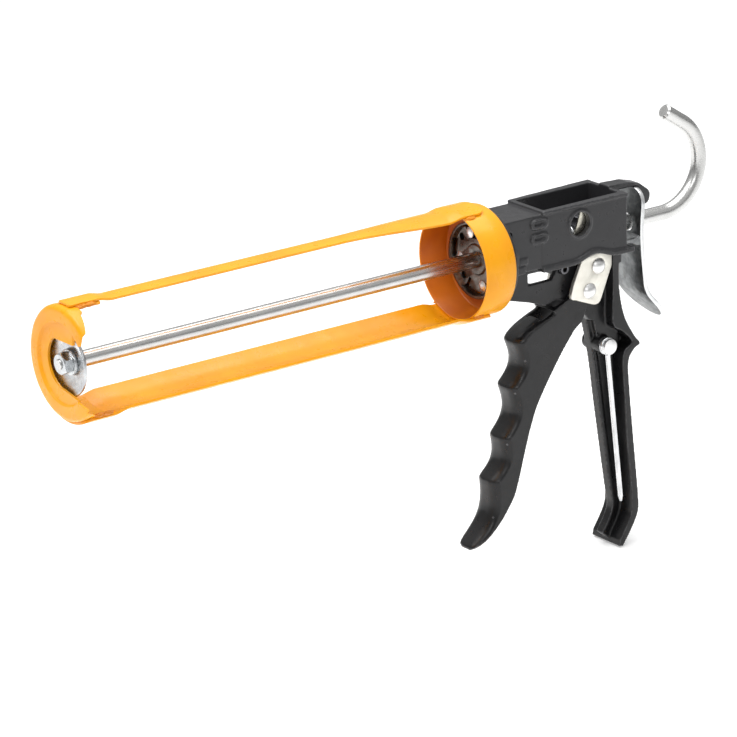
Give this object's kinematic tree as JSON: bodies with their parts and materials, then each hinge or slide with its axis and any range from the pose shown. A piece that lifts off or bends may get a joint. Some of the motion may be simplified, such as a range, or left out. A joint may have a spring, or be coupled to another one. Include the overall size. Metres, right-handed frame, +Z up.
{
  "type": "caulking gun",
  "caption": "Skeleton caulking gun: open cage that turns, hooked push rod with piston, squeeze trigger, thumb release lever, puncture wire and a nozzle-cutter hole in the side.",
  "frame": {"origin": "on the push rod's axis, in the plane of the seat plate's floor, which its rim stands 2.5 mm ahead of", "axes": "+X along the rod from the nozzle end to the hook, +Z up, away from the handle, -Y the side with the nozzle slot, cutter hole and puncture wire"},
  "size_m": [0.3847, 0.055, 0.2219],
  "materials": {
    "yellow_paint": "gloss",
    "black_paint": "semi-gloss",
    "zinc_plate": "satin zinc",
    "rivet_steel": "polished zinc",
    "lever_steel": "galvanised, matt",
    "rod_steel": "satin, drawn",
    "piston_steel": "bright",
    "seat_metal": "dark, stamped",
    "hardened_steel": "blackened",
    "spring_steel": "bright wire"
  },
  "bodies": {
    "main": {"body_housing": "black_paint", "seat_plate": "seat_metal", "seat_rivets": "rivet_steel", "pivot_rivet": "rivet_steel", "stop_pin": "hardened_steel", "spout_cutter_blade": "hardened_steel", "puncture_rivet": "rivet_steel", "drive_spring": "spring_steel", "release_spring": "spring_steel"},
    "cage": {"front_cap": "yellow_paint", "top_rail": "yellow_paint", "bottom_rail": "yellow_paint", "rear_ring": "yellow_paint"},
    "piston": {"piston_disc": "piston_steel"},
    "plunger": {"rod": "rod_steel", "piston_nut": "piston_steel", "piston_washer": "piston_steel", "rod_collar": "piston_steel"},
    "trigger": {"trigger": "black_paint", "side_plate_left": "zinc_plate", "side_plate_right": "zinc_plate", "link_rivet": "rivet_steel", "drive_pin": "hardened_steel"},
    "grip_plates": {"drive_plates": "hardened_steel"},
    "release_lever": {"release_lever": "lever_steel"},
    "puncture_wire": {"puncture_wire": "spring_steel"}
  },
  "joints": [
    {"name": "cage_turn", "type": "hinge", "parent": "main", "child": "cage", "pos_m": [0, 0, 0], "axis": [1, 0, 0], "continuous": true},
    {"name": "plunger_slide", "type": "slide", "parent": "main", "child": "piston", "axis": [1, 0, 0], "range_m": [0, 0.215]},
    {"name": "rod_turn", "type": "hinge", "parent": "piston", "child": "plunger", "pos_m": [-0.232, 0, 0], "axis": [1, 0, 0], "continuous": true},
    {"name": "trigger_pull", "type": "hinge", "parent": "main", "child": "trigger", "pos_m": [0.0676, 0, -0.015], "axis": [0, -1, 0], "range_deg": [0, 25], "stiffness_Nm_per_rad": 1, "springref_deg": -17.19},
    {"name": "grip_advance", "type": "slide", "parent": "main", "child": "grip_plates", "axis": [-1, 0, 0], "range_m": [0, 0.0036]},
    {"name": "release_press", "type": "hinge", "parent": "main", "child": "release_lever", "pos_m": [0.0967, 0, 0.0165], "axis": [0, 1, 0], "range_deg": [0, 5], "stiffness_Nm_per_rad": 2, "springref_deg": -8.59},
    {"name": "wire_swing", "type": "hinge", "parent": "main", "child": "puncture_wire", "pos_m": [0.0732, 0, -0.058], "axis": [0, 1, 0], "range_deg": [0, 110]}
  ],
  "couplings": [
    {"joint": "grip_advance", "follows": "trigger_pull", "m_per_rad": 0.0078}
  ]
}
